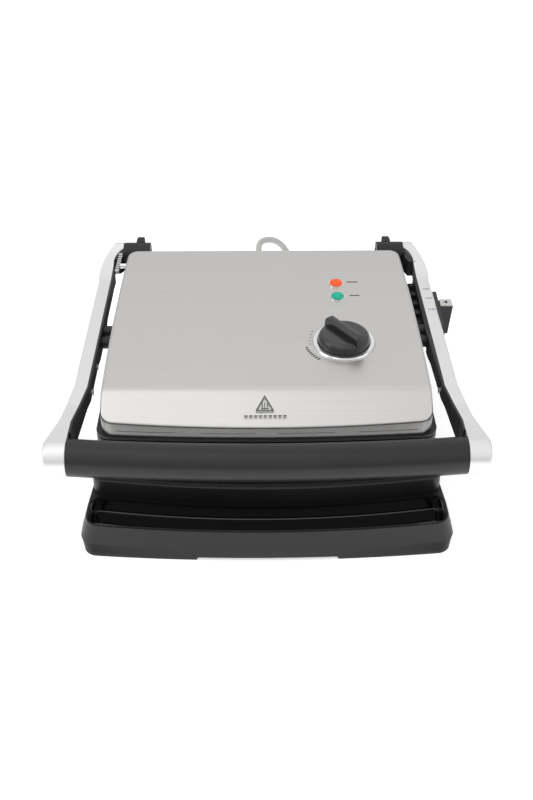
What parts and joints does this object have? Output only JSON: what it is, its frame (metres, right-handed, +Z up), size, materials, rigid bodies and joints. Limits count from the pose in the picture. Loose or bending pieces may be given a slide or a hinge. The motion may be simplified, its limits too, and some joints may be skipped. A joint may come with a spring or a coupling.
{
  "type": "panini press",
  "caption": "Contact grill with a hinged floating lid, a bowed handle on two side arms, a dial, two lamps, a height clip and a drip tray in the front of its base.",
  "frame": {"origin": "on the surface the grill stands on, under the middle of the grill without its cord", "axes": "+X to the grill's right as seen from the front, +Y from the handle towards the hinge, +Z up"},
  "size_m": [0.375, 0.5538, 0.13],
  "materials": {
    "housing": "satin black moulded plastic with a fine grain",
    "foot_rubber": "matt black rubber",
    "hardware": "zinc-plated steel",
    "plate_coating": "cast aluminium with a dark non-stick coating",
    "element_steel": "sheathed heating element, heat-tinted steel",
    "shield_steel": "plain galvanised sheet",
    "terminal_plastic": "cream heat-proof plastic",
    "terminal_brass": "plain turned brass",
    "cord_relief": "grey flexible sleeve",
    "tray": "glossy black moulding",
    "arm_metal": "satin silver cast aluminium",
    "liner": "dark grey moulded plastic",
    "grip": "soft satin black",
    "clip": "satin black",
    "clip_cap": "light grey insert with a dark arrow",
    "lid_steel": "brushed stainless steel, grain from side to side",
    "bezel_chrome": "polished chrome",
    "knob": "semi-gloss black",
    "lens_red": "clear orange-red lens",
    "lens_green": "clear blue-green lens",
    "cord": "light grey cable sheath",
    "tie": "black strap",
    "plug": "grey moulded plastic",
    "pin_metal": "nickel-plated brass"
  },
  "bodies": {
    "base": {"base_pan": "housing", "base_housing": "housing", "pan_screw_posts": "housing", "base_screws": "hardware", "front_feet": "foot_rubber", "rear_feet": "foot_rubber", "hinge_tower_left": "housing", "hinge_tower_right": "housing", "hinge_pins": "hardware", "standing_feet": "foot_rubber", "lower_grill_plate": "plate_coating", "lower_heating_element": "element_steel", "lower_heat_shield": "shield_steel", "terminal_block": "terminal_plastic", "terminal_screws": "terminal_brass", "thermal_fuse": "element_steel", "strain_relief": "cord_relief", "power_cord": "cord", "cord_coil": "cord", "cord_tie": "tie", "cord_tail": "cord", "plug_body": "plug", "plug_pins": "pin_metal"},
    "arms": {"arm_left": "arm_metal", "arm_right": "arm_metal", "arm_liner_left": "liner", "arm_liner_right": "liner", "hinge_cheeks": "liner", "liner_screws": "hardware", "handle_core": "hardware", "handle_grip": "grip", "pivot_bosses": "liner", "pivot_pins": "hardware", "tilt_stops": "liner", "height_rack": "liner", "clip_guide": "liner", "spring_bracket": "hardware"},
    "lid": {"lid_cover": "lid_steel", "lid_rim": "housing", "lid_screws": "hardware", "upper_grill_plate": "plate_coating", "upper_heating_element": "element_steel", "upper_heat_shield": "shield_steel", "thermostat_body": "shield_steel", "knob_bezel": "bezel_chrome", "red_lens": "lens_red", "green_lens": "lens_green", "lens_bezels": "bezel_chrome", "lamp_holders": "terminal_plastic", "lid_rod": "bezel_chrome"},
    "knob": {"control_knob": "knob", "thermostat_shaft": "hardware"},
    "clip": {"height_clip": "clip", "clip_cap": "clip_cap"},
    "tray": {"drip_tray": "tray"}
  },
  "joints": [
    {"name": "arm_hinge", "type": "hinge", "parent": "base", "child": "arms", "pos_m": [0, 0.1685, 0.1005], "axis": [-1, 0, 0], "range_deg": [0, 100]},
    {"name": "lid_tilt", "type": "hinge", "parent": "arms", "child": "lid", "pos_m": [0, 0.02, 0.088], "axis": [-1, 0, 0], "range_deg": [-10, 0]},
    {"name": "knob_turn", "type": "hinge", "parent": "lid", "child": "knob", "pos_m": [0.0723, -0.015, 0.1121], "axis": [0, 0, 1], "range_deg": [-120, 150]},
    {"name": "clip_slide", "type": "slide", "parent": "arms", "child": "clip", "axis": [0, 1, 0], "range_m": [-0.018, 0.018]},
    {"name": "tray_lift", "type": "slide", "parent": "base", "child": "tray", "axis": [0, 0, 1], "range_m": [0, 0.034]}
  ],
  "couplings": [
    {"joint": "lid_tilt", "follows": "arm_hinge", "ratio": -0.1}
  ]
}
